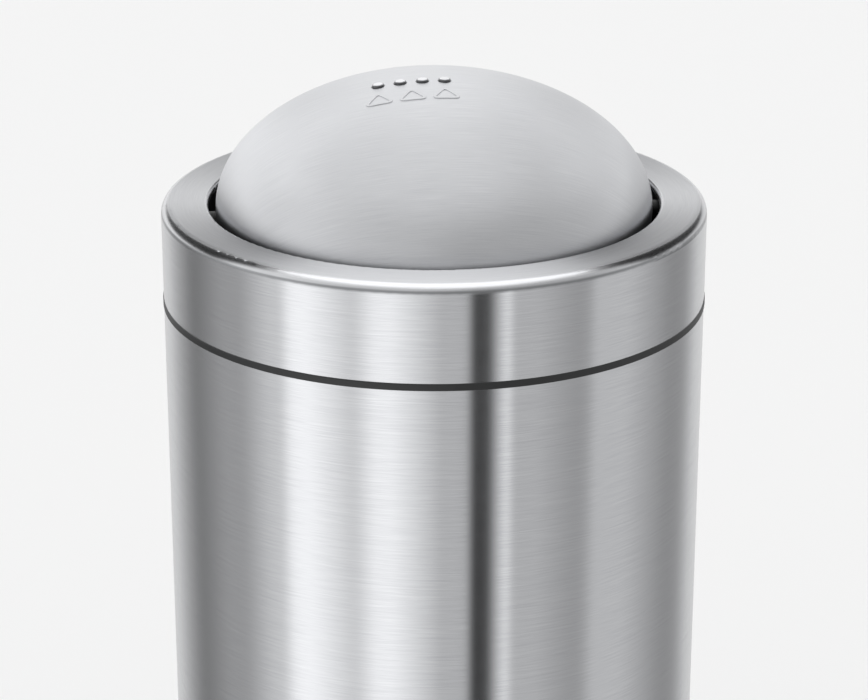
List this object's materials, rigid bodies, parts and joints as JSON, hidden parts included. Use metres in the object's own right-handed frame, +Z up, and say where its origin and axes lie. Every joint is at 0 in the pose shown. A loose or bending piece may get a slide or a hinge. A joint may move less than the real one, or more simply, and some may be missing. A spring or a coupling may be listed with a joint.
{
  "type": "swing-lid trash can",
  "caption": "Round brushed steel kitchen bin with a lift-out bucket and a lift-off ring lid, whose domed flap swings both ways and falls level by itself.",
  "frame": {"origin": "on the floor, at the middle of the can's foot", "axes": "+Z up along the can's axis; X along the flap's swing axis; the user stands at -Y"},
  "size_m": [0.3008, 0.3008, 0.6961],
  "materials": {
    "shell_steel": "brushed round the can, satin",
    "lid_steel": "brushed round the ring, satin",
    "dome_steel": "brushed in straight lines, satin",
    "plate_steel": "hot-dip galvanised, dull spangle",
    "screw_steel": "zinc plated",
    "pin_steel": "ground bright",
    "arm_steel": "zinc plated",
    "weight_steel": "phosphated, dull dark grey",
    "black_plastic": "moulded, satin black",
    "frame_plastic": "moulded, matt black",
    "pan_plastic": "moulded, fine grain black",
    "blue_plastic": "moulded, frosted blue",
    "bearing_plastic": "natural acetal",
    "spacer_plastic": "moulded nylon, black",
    "black_rubber": "matt"
  },
  "bodies": {
    "can": {"body_shell": "shell_steel", "top_collar": "black_plastic", "base_ring": "black_plastic", "bottom_plate": "plate_steel", "base_screws": "screw_steel", "foot_pads": "black_rubber"},
    "bucket": {"bucket": "blue_plastic"},
    "lid": {"lid_ring": "lid_steel", "lid_frame": "frame_plastic", "bearing_cap_left": "frame_plastic", "bearing_cap_right": "frame_plastic", "bearing_cap_screws": "screw_steel", "pivot_bush_left": "bearing_plastic", "pivot_bush_right": "bearing_plastic", "stop_buffers": "black_rubber"},
    "flap": {"dome_shell": "dome_steel", "dome_pan": "pan_plastic", "pivot_pin_left": "pin_steel", "pivot_pin_right": "pin_steel", "pivot_spacer_left": "spacer_plastic", "pivot_spacer_right": "spacer_plastic", "stop_arm_left": "arm_steel", "stop_arm_right": "arm_steel", "counterweight_front": "weight_steel", "counterweight_rear": "weight_steel", "counterweight_screws": "screw_steel"}
  },
  "joints": [
    {"name": "bucket_lift", "type": "slide", "parent": "can", "child": "bucket", "axis": [0, 0, 1], "range_m": [0, 0.6]},
    {"name": "lid_lift", "type": "slide", "parent": "bucket", "child": "lid", "axis": [0, 0, 1], "range_m": [0, 0.15]},
    {"name": "flap_swing", "type": "hinge", "parent": "lid", "child": "flap", "pos_m": [0, 0, 0.6168], "axis": [1, 0, 0], "range_deg": [-75, 75]}
  ]
}
